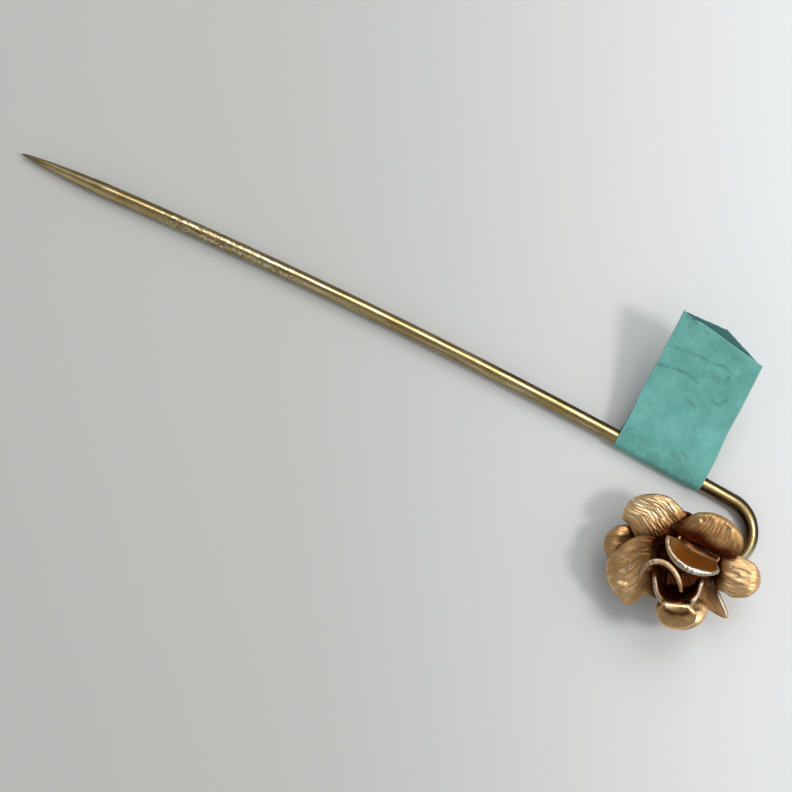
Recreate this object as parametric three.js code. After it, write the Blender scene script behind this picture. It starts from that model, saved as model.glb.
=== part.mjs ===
// A rose hat pin: a long pointed wire with a shepherd's-crook end, a rose of thin formed
// petals soldered to it, and a paper price tag folded round the wire.
// Millimetres, +Z up. It lies on its back: the wire runs along X with its point at -X,
// and the rose faces up. The rose is laid out about its own axis, and the finished pin
// is then moved so that the middle of its box stands over the origin.
import * as THREE from 'three';

// Wire
const WIRE_RADIUS = 0.55;
const WIRE_SIDES = 14;
const POINT_LENGTH = 6.8;
const STEM_LENGTH = 59.3;
const STEM_BOW = 0.96;
const STEM_SIDE = 5.8;
const TIP_SIDE = 6.0;
const POINT_LEAN = 0.1;
const STEM_STATIONS = 26;
const CROOK_RADIUS = 2.65;
const CROOK_X = 1.35;
const CROOK_STATIONS = 18;
const SOLDERED_LEG = 2.6;
const TIP_HEIGHT = 0.48;
const TAG_HEIGHT = 0.72;

// Rose
const SHEET = 0.3;
const FIT_GAP = 0.03;
const PLATE_RADIUS = 2.7;
const PLATE_THICKNESS = 0.4;
const RIVET_RADIUS = 0.55;
const RIVET_HEAD_RADIUS = 0.95;
const RIVET_HEAD_HEIGHT = 0.4;
const RIVET_HEAD_STEPS = 4;
const ROOT_RING = 0.72;
const TIP_ROUNDING = 0.44;
const PETAL_COLUMNS = 8;
const PETAL_ROWS = 12;
const SPINE_STEPS = 32;

// Price tag
const TAG_WIDTH = 7.25;
const TAG_LEAF = 11.7;
const TAG_TAPER = 0.04;
const TAG_NEAR_CUT = 0.35;
const TAG_FAR_CUT = 1.25;
const TAG_SKEW = 3.2;
const PAPER = 0.1;
const TAG_LOOP_RADIUS = 0.6;
const LEAF_GAP = 0.06;
const TAG_LIFT = 25;
const TAG_X = -4.78;

const BASE_Z = 2 * WIRE_RADIUS + FIT_GAP;
const BACK_ROOT_Z = BASE_Z + PLATE_THICKNESS + FIT_GAP + SHEET / 2;
const FRONT_ROOT_Z = BACK_ROOT_Z + SHEET + FIT_GAP;
const BUD_ROOT_Z = FRONT_ROOT_Z + SHEET + FIT_GAP;

const FINISHES = {
  brass: { color: 0xb79a63, roughness: 0.34, metalness: 1.0 },
  roseGold: { color: 0xd89a63, roughness: 0.38, metalness: 1.0 },
  paper: { color: 0x5fa69b, roughness: 0.85, metalness: 0.0 },
};

function part(name, geometry, finish) {
  const mesh = new THREE.Mesh(geometry, new THREE.MeshStandardMaterial(FINISHES[finish]));
  mesh.name = name;
  return mesh;
}

// ---------------------------------------------------------------- wire

class Crook extends THREE.Curve {
  constructor(startZ, endZ) {
    super();
    this.startZ = startZ;
    this.endZ = endZ;
  }

  getPoint(t) {
    const angle = Math.PI * (0.5 - t);
    return new THREE.Vector3(
      CROOK_X + CROOK_RADIUS * Math.cos(angle),
      STEM_SIDE - CROOK_RADIUS + CROOK_RADIUS * Math.sin(angle),
      THREE.MathUtils.lerp(this.startZ, this.endZ, t),
    );
  }
}

function wirePath() {
  const tip = new THREE.Vector3(CROOK_X - STEM_LENGTH, TIP_SIDE, TIP_HEIGHT);
  const end = new THREE.Vector3(CROOK_X, STEM_SIDE, TAG_HEIGHT - 0.02);
  const bow = new THREE.Vector3((tip.x + end.x) / 2, STEM_SIDE + 2 * STEM_BOW, TAG_HEIGHT + 0.1);
  const legY = STEM_SIDE - 2 * CROOK_RADIUS;
  const legStart = new THREE.Vector3(CROOK_X, legY, WIRE_RADIUS);
  const legEnd = new THREE.Vector3(CROOK_X - SOLDERED_LEG, legY, WIRE_RADIUS);
  const path = new THREE.CurvePath();
  path.add(new THREE.QuadraticBezierCurve3(tip, bow, end));
  path.add(new Crook(end.z, WIRE_RADIUS));
  path.add(new THREE.LineCurve3(legStart, legEnd));
  return path;
}

// A lathe turned about Y is bent so that its axis follows the path, and its point leans
// a little to +Y, as it was ground mostly from the other side.
function bendAlong(geometry, path) {
  const total = path.getLength();
  const position = geometry.attributes.position;
  const up = new THREE.Vector3(0, 0, 1);
  for (let i = 0; i < position.count; i += 1) {
    const place = THREE.MathUtils.clamp(position.getY(i) / total, 0, 1);
    const tangent = path.getTangentAt(place);
    const side = new THREE.Vector3().crossVectors(tangent, up).normalize();
    const over = new THREE.Vector3().crossVectors(side, tangent);
    const point = path.getPointAt(place);
    point.addScaledVector(side, position.getX(i)).addScaledVector(over, position.getZ(i));
    point.y += POINT_LEAN * Math.max(0, 1 - position.getY(i) / POINT_LENGTH);
    position.setXYZ(i, point.x, point.y, point.z);
  }
  return geometry;
}

function stemWire() {
  const path = wirePath();
  const total = path.getLength();
  const profile = [new THREE.Vector2(0, 0)];
  for (const share of [0.01, 0.06, 0.15, 0.3, 0.55, 1]) {
    profile.push(new THREE.Vector2(WIRE_RADIUS * share ** 0.5, POINT_LENGTH * share));
  }
  const straight = path.curves[0].getLength() - POINT_LENGTH;
  for (let i = 1; i <= STEM_STATIONS; i += 1) {
    profile.push(new THREE.Vector2(WIRE_RADIUS, POINT_LENGTH + straight * i / STEM_STATIONS));
  }
  const bend = total - POINT_LENGTH - straight;
  for (let i = 1; i <= CROOK_STATIONS; i += 1) {
    profile.push(new THREE.Vector2(WIRE_RADIUS, POINT_LENGTH + straight + bend * i / CROOK_STATIONS));
  }
  profile.push(new THREE.Vector2(0, total));
  return bendAlong(new THREE.LatheGeometry(profile, WIRE_SIDES), path);
}

// ---------------------------------------------------------------- petals

// Starts at the first value and eases to each next one: [place, run, value].
function eased([start, ...steps], s) {
  return steps.reduce((value, [place, run, next]) => {
    const t = THREE.MathUtils.smoothstep(s, place - run / 2, place + run / 2);
    return THREE.MathUtils.lerp(value, next, t);
  }, start);
}

// A petal is a strip bent along its spine and dished across it. Distances along the spine
// are in millimetres from the root, slopes are above the horizontal, and a cup is the
// curvature across the strip, positive where its edges rise; a curl tightens it on the
// left and opens it on the right.
function spinePoint(petal, s) {
  const step = s / SPINE_STEPS;
  let out = 0;
  let rise = 0;
  for (let i = 0; i < SPINE_STEPS; i += 1) {
    const slope = THREE.MathUtils.degToRad(eased(petal.slope, (i + 0.5) * step));
    out += step * Math.cos(slope);
    rise += step * Math.sin(slope);
  }
  return new THREE.Vector3(out, eased(petal.sway ?? [0], s), rise);
}

function petalPoint(petal, u, v) {
  const roundFrom = petal.roundFrom ?? 0.4;
  const end = Math.max(0, (v - roundFrom) / (1 - roundFrom));
  const rounding = petal.rounding ?? TIP_ROUNDING;
  const across = u * Math.sqrt(1 - rounding * end * end);
  const reach = roundFrom + (1 - roundFrom) * end * Math.sqrt(1 - rounding * u * u);
  const s = petal.length * (v < roundFrom ? v : reach);

  const slope = THREE.MathUtils.degToRad(eased(petal.slope, s));
  const tilt = THREE.MathUtils.degToRad(eased(petal.tilt ?? [0], s));
  const normal = new THREE.Vector3(-Math.sin(slope), 0, Math.cos(slope));
  const left = new THREE.Vector3(0, 1, 0);
  const side = left.clone().multiplyScalar(Math.cos(tilt)).addScaledVector(normal, Math.sin(tilt));
  const face = normal.clone().multiplyScalar(Math.cos(tilt)).addScaledVector(left, -Math.sin(tilt));

  const width = across * eased(petal.halfWidth, s);
  const cup = eased(petal.cup, s) * (1 + (petal.curl ?? 0) * across) + 1e-6;
  const lift = (1 - Math.cos(width * cup)) / cup;
  return spinePoint(petal, s)
    .addScaledVector(side, Math.sin(width * cup) / cup)
    .addScaledVector(face, lift);
}

function petalGeometry(petal) {
  const geometry = new THREE.BoxGeometry(2, 1, SHEET, PETAL_COLUMNS, PETAL_ROWS, 1);
  const position = geometry.attributes.position;
  const small = 1e-3;
  for (let i = 0; i < position.count; i += 1) {
    const u = -position.getX(i);
    const v = position.getY(i) + 0.5;
    const middle = petalPoint(petal, u, v);
    const alongU = petalPoint(petal, u + small, v).sub(petalPoint(petal, u - small, v));
    const alongV = petalPoint(petal, u, v + small).sub(petalPoint(petal, u, v - small));
    const normal = alongV.cross(alongU).normalize();
    middle.addScaledVector(normal, position.getZ(i));
    position.setXYZ(i, middle.x, middle.y, middle.z);
  }
  return geometry;
}

function petalMesh(petal) {
  const mesh = part(petal.name, petalGeometry(petal), 'roseGold');
  const azimuth = THREE.MathUtils.degToRad(petal.azimuth);
  const [x, y, z] = petal.root ?? [ROOT_RING * Math.cos(azimuth), ROOT_RING * Math.sin(azimuth), 0];
  mesh.position.set(x, y, petal.rootZ + z);
  mesh.rotation.z = azimuth;
  return mesh;
}

const BACK_PETALS = [
  {
    name: 'back_petal_1',
    azimuth: 189,
    length: 5.65,
    slope: [4, [2.2, 1.6, 22], [5.0, 1.6, -30]],
    halfWidth: [0.4, [1.8, 2.2, 1.75]],
    cup: [0.02, [2.5, 2.0, 0.08]],
  },
  {
    name: 'back_petal_2',
    azimuth: 255,
    length: 2.5,
    slope: [2, [2.0, 1.6, 6]],
    halfWidth: [0.4, [1.6, 2.0, 1.1]],
    cup: [0.02, [2.2, 2.0, 0.1]],
  },
  {
    name: 'back_petal_3',
    azimuth: 334,
    length: 4.5,
    slope: [4, [2.2, 1.6, 16]],
    halfWidth: [0.4, [1.6, 1.4, 0.95], [3.6, 2.4, 0.5]],
    cup: [0.02, [2.5, 2.0, 0.2]],
    tilt: [0, [2.6, 2.0, 50]],
  },
  {
    name: 'back_petal_4',
    azimuth: 42,
    length: 3.6,
    slope: [4, [2.0, 1.6, 12]],
    halfWidth: [0.35, [1.8, 2.0, 1.2]],
    cup: [0.02, [2.2, 2.0, 0.1]],
  },
  {
    name: 'back_petal_5',
    azimuth: 116,
    length: 3.1,
    slope: [4, [2.0, 1.6, 14]],
    halfWidth: [0.4, [1.6, 2.0, 1.2]],
    cup: [0.02, [2.2, 2.0, 0.1]],
  },
].map((petal) => ({ rootZ: BACK_ROOT_Z, ...petal }));

const FRONT_PETALS = [
  {
    name: 'front_petal_1',
    azimuth: 152.5,
    length: 6.3,
    rounding: 0.42,
    slope: [0, [1.2, 0.8, 72], [2.4, 1.2, 8], [5.6, 1.4, -45]],
    halfWidth: [0.4, [1.9, 2.2, 2.05]],
    cup: [0.1, [2.2, 1.5, -0.06]],
    tilt: [0, [2.4, 1.8, -9]],
    sway: [0, [2.4, 1.4, -0.2], [5.3, 1.6, 0.45]],
  },
  {
    name: 'front_petal_2',
    azimuth: 89,
    length: 5.15,
    rounding: 0.46,
    slope: [0, [0.9, 0.7, 80], [2.8, 0.9, 4], [4.9, 1.0, -45]],
    halfWidth: [0.35, [2.0, 1.5, 2.7]],
    cup: [0.1, [2.6, 1.0, -0.08]],
    sway: [0, [2.6, 3.0, -0.9]],
  },
  {
    name: 'front_petal_3',
    azimuth: 14,
    length: 5.9,
    rounding: 0.46,
    slope: [0, [1.6, 0.8, 70], [2.9, 1.2, 4], [5.2, 1.0, -35]],
    halfWidth: [0.4, [2.1, 1.6, 1.4], [3.6, 1.0, 1.72]],
    cup: [0.1, [2.4, 1.2, -0.12]],
    sway: [0, [3.2, 2.0, -0.2]],
  },
  {
    name: 'front_petal_4',
    azimuth: 293,
    length: 4.4,
    slope: [0, [1.9, 0.9, 35], [3.2, 1.0, 6], [4.3, 0.8, -40]],
    halfWidth: [0.4, [1.9, 1.8, 2.0]],
    cup: [0.1, [2.4, 1.2, -0.1]],
  },
  {
    name: 'front_petal_5',
    azimuth: 214,
    length: 5.9,
    rounding: 0.46,
    slope: [0, [0.7, 0.7, 58], [2.4, 1.8, -4], [5.2, 1.2, -40]],
    halfWidth: [0.4, [1.7, 1.4, 2.3], [3.8, 1.8, 2.75]],
    cup: [0.2, [2.6, 1.4, -0.03]],
    tilt: [0, [2.2, 1.8, -17]],
    sway: [0, [2.4, 1.0, -0.3], [3.9, 1.8, 0.36]],
  },
].map((petal) => ({ rootZ: FRONT_ROOT_Z, ...petal }));

const BUD_PETALS = [
  {
    name: 'bud_petal_1',
    azimuth: 268,
    root: [-0.05, 1.5, 0.4],
    length: 3.65,
    slope: [14, [0.55, 0.6, 62], [2.8, 1.2, 82]],
    halfWidth: [1.8, [1.6, 1.8, 2.65]],
    cup: [0.3],
    curl: -0.35,
    sway: [0.4, [1.4, 1.6, 0]],
  },
  {
    name: 'bud_petal_2',
    azimuth: 87,
    root: [-1.7, -0.85, 1.15],
    length: 2.0,
    roundFrom: 0,
    slope: [82],
    halfWidth: [0.6, [0.9, 0.8, 2.95]],
    cup: [0.62],
    curl: 0.35,
    sway: [0, [0.9, 0.8, -0.2]],
  },
  {
    name: 'bud_petal_3',
    azimuth: 290,
    root: [-0.23, -0.95, 0.2],
    length: 5.9,
    rounding: 0.36,
    slope: [8, [1.0, 0.6, 68], [4.0, 0.6, -10], [5.2, 0.8, -42]],
    halfWidth: [0.5, [1.5, 1.0, 2.44], [3.1, 1.5, 1.15], [4.3, 0.7, 1.65]],
    cup: [0.1, [1.3, 1.0, 0.58], [3.3, 1.2, 0.08], [4.5, 0.8, -0.12]],
    sway: [0, [4.6, 1.6, 0.15]],
  },
].map((petal) => ({ rootZ: BUD_ROOT_Z, ...petal }));

// ---------------------------------------------------------------- centre

function calyxPlate() {
  const disc = new THREE.CylinderGeometry(PLATE_RADIUS, PLATE_RADIUS, PLATE_THICKNESS, 32);
  const mesh = part('calyx_plate', disc.rotateX(Math.PI / 2), 'roseGold');
  mesh.position.z = BASE_Z + PLATE_THICKNESS / 2;
  return mesh;
}

function centreRivet() {
  const foot = BASE_Z + PLATE_THICKNESS + FIT_GAP;
  const neck = FRONT_ROOT_Z + SHEET / 2 + FIT_GAP - foot;
  const profile = [
    new THREE.Vector2(0, 0),
    new THREE.Vector2(RIVET_RADIUS, 0),
    new THREE.Vector2(RIVET_RADIUS, neck),
  ];
  for (let i = 0; i < RIVET_HEAD_STEPS; i += 1) {
    const angle = Math.PI / 2 * i / RIVET_HEAD_STEPS;
    const radius = RIVET_HEAD_RADIUS * Math.cos(angle);
    profile.push(new THREE.Vector2(radius, neck + RIVET_HEAD_HEIGHT * Math.sin(angle)));
  }
  profile.push(new THREE.Vector2(0, neck + RIVET_HEAD_HEIGHT));
  const mesh = part('centre_rivet', new THREE.LatheGeometry(profile, 20).rotateX(Math.PI / 2), 'roseGold');
  mesh.position.z = foot;
  return mesh;
}

// ---------------------------------------------------------------- price tag

// The folded strip seen end on: two leaves side by side, and a teardrop loop round the wire.
function tagOutline() {
  const inner = LEAF_GAP / 2;
  const outer = inner + PAPER;
  const loopOuter = TAG_LOOP_RADIUS + PAPER;
  const throat = 2.2 * TAG_LOOP_RADIUS;
  const touch = (radius, height) => (
    Math.atan2(height, throat) + Math.acos(radius / Math.hypot(throat, height))
  );
  const wide = touch(loopOuter, outer);
  const tight = touch(TAG_LOOP_RADIUS, inner);
  const shape = new THREE.Shape();
  shape.moveTo(TAG_LEAF, outer);
  shape.lineTo(throat, outer);
  shape.absarc(0, 0, loopOuter, wide, 2 * Math.PI - wide, false);
  shape.lineTo(throat, -outer);
  shape.lineTo(TAG_LEAF, -outer);
  shape.lineTo(TAG_LEAF, -inner);
  shape.lineTo(throat, -inner);
  shape.absarc(0, 0, TAG_LOOP_RADIUS, -tight, tight - 2 * Math.PI, true);
  shape.lineTo(throat, inner);
  shape.lineTo(TAG_LEAF, inner);
  return shape;
}

function priceTag(stem) {
  const strip = { depth: TAG_WIDTH, steps: 4, bevelEnabled: false, curveSegments: 16 };
  const geometry = new THREE.ExtrudeGeometry(tagOutline(), strip).translate(0, 0, -TAG_WIDTH / 2);
  const position = geometry.attributes.position;
  const skew = Math.tan(THREE.MathUtils.degToRad(TAG_SKEW));
  for (let i = 0; i < position.count; i += 1) {
    if (position.getX(i) > TAG_LEAF - PAPER) {
      const fromMiddle = position.getZ(i) / (TAG_WIDTH / 2);
      const cut = fromMiddle > 0 ? TAG_FAR_CUT : TAG_NEAR_CUT;
      position.setX(i, TAG_LEAF - cut * Math.abs(fromMiddle));
    }
    const narrowed = 1 - TAG_TAPER * position.getX(i) / TAG_LEAF;
    position.setZ(i, narrowed * position.getZ(i) - skew * position.getX(i));
  }
  const mesh = part('price_tag', geometry, 'paper');
  const place = (TAG_X - stem.v0.x) / STEM_LENGTH;
  const along = stem.getTangent(place).setZ(0).normalize();
  const lift = THREE.MathUtils.degToRad(TAG_LIFT);
  const away = new THREE.Vector3(0, 0, 1).cross(along);
  const leaf = away.clone().multiplyScalar(Math.cos(lift)).setZ(Math.sin(lift));
  const face = new THREE.Vector3().crossVectors(along, leaf);
  mesh.quaternion.setFromRotationMatrix(new THREE.Matrix4().makeBasis(leaf, face, along));
  mesh.position.copy(stem.getPoint(place));
  return mesh;
}

// ---------------------------------------------------------------- assembly

const pin = new THREE.Group();
pin.add(part('stem_wire', stemWire(), 'brass'));
pin.add(priceTag(wirePath().curves[0]));
pin.add(calyxPlate(), centreRivet());
pin.add(...[...BACK_PETALS, ...FRONT_PETALS, ...BUD_PETALS].map(petalMesh));

const box = new THREE.Box3().setFromObject(pin, true);
const middle = box.getCenter(new THREE.Vector3());
pin.position.set(-middle.x, -middle.y, -box.min.z);

const group = new THREE.Group();
group.add(pin);

export default group;
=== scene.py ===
"""Looks of the rose hat pin: brushed rose-gold petals, a worn brass wire and a folded paper price tag."""
import math

import bpy
import numpy as np
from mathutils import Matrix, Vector


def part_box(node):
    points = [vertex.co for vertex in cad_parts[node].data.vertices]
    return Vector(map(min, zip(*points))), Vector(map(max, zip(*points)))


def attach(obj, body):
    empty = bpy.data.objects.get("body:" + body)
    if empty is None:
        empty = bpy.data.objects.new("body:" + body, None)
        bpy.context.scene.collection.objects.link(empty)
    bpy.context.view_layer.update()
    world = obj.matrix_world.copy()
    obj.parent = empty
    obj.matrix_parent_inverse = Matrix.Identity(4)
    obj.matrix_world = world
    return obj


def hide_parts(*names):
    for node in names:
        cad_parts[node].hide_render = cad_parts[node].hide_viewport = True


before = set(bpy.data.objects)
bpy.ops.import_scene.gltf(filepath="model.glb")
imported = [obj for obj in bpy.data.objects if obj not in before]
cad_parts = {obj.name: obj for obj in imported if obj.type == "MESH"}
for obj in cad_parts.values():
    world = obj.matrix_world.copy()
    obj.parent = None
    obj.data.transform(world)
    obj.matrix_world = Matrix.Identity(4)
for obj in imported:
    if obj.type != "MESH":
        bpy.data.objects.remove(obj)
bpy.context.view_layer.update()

# Sizes are in mm and angles in degrees, except where a line says metres.
MM = 0.001

# -------- camera, floor and light

ROSE_AXIS = (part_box("calyx_plate")[0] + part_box("calyx_plate")[1]) / 2
ROSE_MM = np.array([ROSE_AXIS.x, ROSE_AXIS.y, 0]) / MM
PICTURE_LEVEL = 1.0  # the height at which the picture is VIEW_WIDTH wide
CAMERA_DISTANCE = 219.0
CAMERA_FROM_ROSE = Vector((-24.73, 1.91, PICTURE_LEVEL + CAMERA_DISTANCE)) * MM
CAMERA_ROLL = math.radians(25.72)
VIEW_WIDTH = 59.4
SENSOR = 36.0

# Azimuths are measured in the picture, from its right side; zeniths from straight up; the rest in metres.
WINDOW = dict(azimuth=62, zenith=39, distance=0.25, size=0.14, radiance=2.5, colour=(0.98, 0.99, 1.0))
LAMP = dict(azimuth=-8, zenith=41, distance=0.25, size=0.04, radiance=32.0, colour=(1.0, 0.985, 0.96))
CARD = dict(azimuth=2, zenith=40, distance=0.25, size=0.27, radiance=0.95, colour=(0.99, 0.99, 1.0))
# The studio's radiance by direction: 0 is the horizon and below, 1 is straight up.
SKY = [(0.0, 0.40), (0.45, 0.38), (0.80, 0.36), (0.93, 0.20), (1.0, 0.15)]
FLOOR_SIZE = 4  # metres, like FLOOR_LIGHT_FADE
# Painted light: the floor's colour is darker at the picture's left and paler at its right.
FLOOR_DIM_LEFT = (0.625, 0.630, 0.605)
FLOOR_LIT_RIGHT = (0.870, 0.895, 0.900)
FLOOR_LIGHT_FADE = (-0.012, 0.040)


def make_camera():
    """Looks straight down, turned so that the wire runs as in the picture."""
    data = bpy.data.cameras.new("camera")
    data.sensor_width = SENSOR
    data.lens = SENSOR * CAMERA_DISTANCE / VIEW_WIDTH
    data.clip_start = 0.01
    data.clip_end = 10
    camera = bpy.data.objects.new("camera", data)
    camera.location = Vector((ROSE_AXIS.x, ROSE_AXIS.y, 0)) + CAMERA_FROM_ROSE
    camera.rotation_euler = (0, 0, CAMERA_ROLL)
    bpy.context.scene.collection.objects.link(camera)
    bpy.context.scene.camera = camera


def area_light(name, azimuth, zenith, distance, size, radiance, colour):
    """A square light of that radiance, facing the origin."""
    data = bpy.data.lights.new(name, "AREA")
    data.shape = "SQUARE"
    data.size = size
    data.energy = radiance * math.pi * size ** 2
    data.color = colour
    turn, lean = math.radians(azimuth) + CAMERA_ROLL, math.radians(zenith)
    away = Vector((math.sin(lean) * math.cos(turn), math.sin(lean) * math.sin(turn), math.cos(lean)))
    light = bpy.data.objects.new(name, data)
    light.location = distance * away
    light.rotation_euler = away.to_track_quat("Z", "Y").to_euler()
    light.visible_camera = False
    bpy.context.scene.collection.objects.link(light)


def make_world():
    """A soft grey studio, brighter round the horizon than overhead."""
    world = bpy.data.worlds.new("studio")
    world.use_nodes = True
    nodes, links = world.node_tree.nodes, world.node_tree.links
    background = nodes["Background"]
    ramp = nodes.new("ShaderNodeValToRGB")
    split = nodes.new("ShaderNodeSeparateXYZ")
    coords = nodes.new("ShaderNodeTexCoord")
    stops = ramp.color_ramp.elements
    while len(stops) < len(SKY):
        stops.new(0.5)
    for stop, (height, radiance) in zip(stops, SKY):
        stop.position = height
        stop.color = (radiance, radiance * 1.01, radiance * 1.01, 1)
    links.new(coords.outputs["Generated"], split.inputs[0])
    links.new(split.outputs["Z"], ramp.inputs["Fac"])
    links.new(ramp.outputs["Color"], background.inputs["Color"])
    bpy.context.scene.world = world


def make_floor():
    """A matt board, paler towards the picture's right: painted light."""
    bpy.ops.mesh.primitive_plane_add(size=FLOOR_SIZE)
    floor = bpy.context.object
    floor.name = "floor"
    shader = Shader("floor_board")
    shader.set(Roughness=0.8, Specular_IOR_Level=0.1)
    place = shader.add("TexCoord", {}, "Object")
    right = (math.cos(CAMERA_ROLL), math.sin(CAMERA_ROLL), 0)
    across = shader.add("VectorMath", {0: place, 1: right}, "Value", operation="DOT_PRODUCT")
    shader.plug(shader.mix(shader.ramp(across, *FLOOR_LIGHT_FADE), FLOOR_DIM_LEFT, FLOOR_LIT_RIGHT), "Base Color")
    floor.data.materials.append(shader.material)


# -------- materials


class Shader:
    """A principled material with short calls for the nodes it needs."""

    def __init__(self, name):
        self.material = bpy.data.materials.new(name)
        self.material.use_nodes = True
        self.nodes = self.material.node_tree.nodes
        self.links = self.material.node_tree.links
        self.principled = self.nodes["Principled BSDF"]

    def set(self, **values):
        """Sets the shader's own sockets; a socket's spaces are written as underscores."""
        for name, value in values.items():
            self.principled.inputs[name.replace("_", " ")].default_value = value

    def plug(self, source, socket):
        self.links.new(source, self.principled.inputs[socket])

    def add(self, kind, inputs, output=0, **settings):
        """Adds a node with these settings and inputs, each another node's output or a constant."""
        node = self.nodes.new("ShaderNode" + kind)
        for name, value in settings.items():
            setattr(node, name, value)
        for socket, value in inputs.items():
            if isinstance(value, bpy.types.NodeSocket):
                self.links.new(value, node.inputs[socket])
            else:
                node.inputs[socket].default_value = value
        return node.outputs[output]

    def attribute(self, name):
        """A value kept at the piece's points."""
        return self.add("Attribute", {}, "Fac", attribute_name=name)

    def lay(self, *names):
        """A vector of point values, to drive patterns that follow the piece."""
        return self.add("CombineXYZ", {axis: self.attribute(name) for axis, name in zip("XYZ", names)})

    def noise(self, vector, stretch, detail=3.0, roughness=0.5, distortion=0.0):
        """Noise whose cells repeat that many times a unit along each axis."""
        stretched = self.add("Mapping", {"Vector": vector, "Scale": stretch})
        look = {"Scale": 1.0, "Detail": detail, "Roughness": roughness, "Distortion": distortion}
        return self.add("TexNoise", {"Vector": stretched, **look}, "Fac")

    def ramp(self, value, low, high, to_low=0.0, to_high=1.0, smooth=True):
        """Carries the range low to high over to another, and holds it outside."""
        limits = {"From Min": low, "From Max": high, "To Min": to_low, "To Max": to_high}
        curve = "SMOOTHSTEP" if smooth else "LINEAR"
        return self.add("MapRange", {"Value": value, **limits}, "Result", interpolation_type=curve)

    def math(self, kind, a, b):
        return self.add("Math", {0: a, 1: b}, operation=kind)

    def mix(self, factor, a, b):
        """From colour a to colour b by the factor."""
        a, b = ((*colour, 1) if isinstance(colour, tuple) else colour for colour in (a, b))
        return self.add("Mix", {"Factor": factor, 6: a, 7: b}, 2, data_type="RGBA")

    def bump(self, height, strength, distance):
        self.plug(self.add("Bump", {"Height": height, "Strength": strength, "Distance": distance}), "Normal")


# GOLD: random deep and pale tone, a painted highlight, a painted orange reflection, painted shade in two
# steps, the cut edges' base metal, and the rim's painted highlight.
GOLD = dict(
    deep=(0.60, 0.362, 0.153),
    pale=(0.75, 0.478, 0.225),
    painted_highlight=(1.0, 0.86, 0.60),
    painted_pocket_reflection=(0.36, 0.110, 0.012),
    half_shade=(0.42, 0.225, 0.088),
    full_shade=(0.095, 0.024, 0.007),
    dull_cut=(0.38, 0.31, 0.225),
    clean_cut=(0.62, 0.53, 0.41),
    gleam=(1.0, 0.94, 0.84),
)
GOLD_ROUGHNESS = 0.43
POLISH_SMOOTHS = 0.24
HAIRLINES_ROUGHEN = 0.07
REFLECTION_DULLS = 0.5
BRUSHED_DEPTH = 0.025

# BRASS: random deep and yellow tone, scratches, scuff flecks, a painted pale reflection, scuff specks, and
# tarnish that is partly painted shade.
BRASS = dict(
    deep=(0.50, 0.345, 0.120),
    yellow=(0.68, 0.51, 0.235),
    scratched=(0.88, 0.76, 0.50),
    fleck=(0.98, 0.88, 0.62),
    painted_crook_reflection=(0.64, 0.56, 0.41),
    speck=(0.20, 0.13, 0.06),
    tarnish_and_shade=(0.050, 0.032, 0.011),
)
BRASS_ROUGHNESS = (0.16, 0.28)
SCRATCH_DEPTH = 0.02

# TEAL: random deep and pale tone, fibres, grey smudges that also carry painted shade, and rubbed edges.
TEAL = dict(
    deep=(0.142, 0.430, 0.386),
    pale=(0.210, 0.565, 0.508),
    fibre=(0.27, 0.58, 0.53),
    smudge_and_shade=(0.060, 0.150, 0.145),
    worn=(0.36, 0.56, 0.52),
)
FIBRE_DEPTH = 0.02


def rose_gold():
    """Rose-gold wash over brass: brushed along the petal, silvery at cut edges; painted shade near the
    middle, painted highlights and a painted reflection in the pocket.
    """
    shader = Shader("rose_gold")
    lay = shader.lay("fan", "along_mm", "petal_seed")
    streaks = shader.noise(lay, (20, 1.5, 1), detail=3, roughness=0.62, distortion=0.3)
    hairlines = shader.noise(lay, (60, 1.6, 1), detail=2, roughness=0.6)
    blotches = shader.noise(lay, (2.2, 0.9, 1), detail=3, roughness=0.5)
    specks = shader.noise(lay, (30, 9, 1), detail=3, roughness=0.6)

    gold = shader.mix(shader.ramp(blotches, 0.35, 0.7), GOLD["deep"], GOLD["pale"])
    # Painted highlight: a paler colour on the brushed crests and along the glints.
    highlit_crests = shader.math("MULTIPLY", shader.ramp(streaks, 0.5, 0.64), shader.attribute("shine"))
    glints = shader.math("MULTIPLY", shader.attribute("glint"), shader.ramp(streaks, 0.42, 0.6, 0.25, 1))
    bright = shader.mix(shader.math("MAXIMUM", highlit_crests, glints), gold, GOLD["painted_highlight"])
    # Painted orange reflection inside the pocket.
    painted_pocket_reflection = shader.mix(shader.attribute("painted_pocket_reflection"), bright, GOLD["painted_pocket_reflection"])
    # Painted shade, in two steps: browner, then nearly black.
    painted_shade = shader.attribute("painted_shade")
    half_shade = shader.mix(shader.ramp(painted_shade, 0, 0.5, smooth=False), painted_pocket_reflection, GOLD["half_shade"])
    full_shade = shader.mix(shader.ramp(painted_shade, 0.5, 1, smooth=False), half_shade, GOLD["full_shade"])
    silver = shader.mix(shader.ramp(specks, 0.4, 0.65), GOLD["dull_cut"], GOLD["clean_cut"])
    rimmed = shader.mix(shader.attribute("silver"), full_shade, silver)
    # Painted highlight along a stretch of the rim.
    shader.plug(shader.mix(shader.attribute("gleam"), rimmed, GOLD["gleam"]), "Base Color")

    # The painted reflection is less metallic, so that it catches the light.
    reflection_dulling = shader.math("MULTIPLY", shader.attribute("painted_pocket_reflection"), REFLECTION_DULLS)
    shader.plug(shader.math("SUBTRACT", 1, reflection_dulling), "Metallic")
    brush = shader.attribute("brush")
    satin = shader.ramp(hairlines, 0.3, 0.7, HAIRLINES_ROUGHEN, -HAIRLINES_ROUGHEN)
    polish = shader.math("MULTIPLY", shader.attribute("polish"), POLISH_SMOOTHS)
    glossed = shader.math("SUBTRACT", GOLD_ROUGHNESS, polish)
    shader.plug(shader.math("ADD", shader.math("MULTIPLY", satin, brush), glossed), "Roughness")
    relief = shader.math("ADD", streaks, shader.math("MULTIPLY", hairlines, 0.7))
    shader.bump(shader.math("MULTIPLY", relief, brush), 0.6, BRUSHED_DEPTH * MM)
    return shader.material


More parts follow.
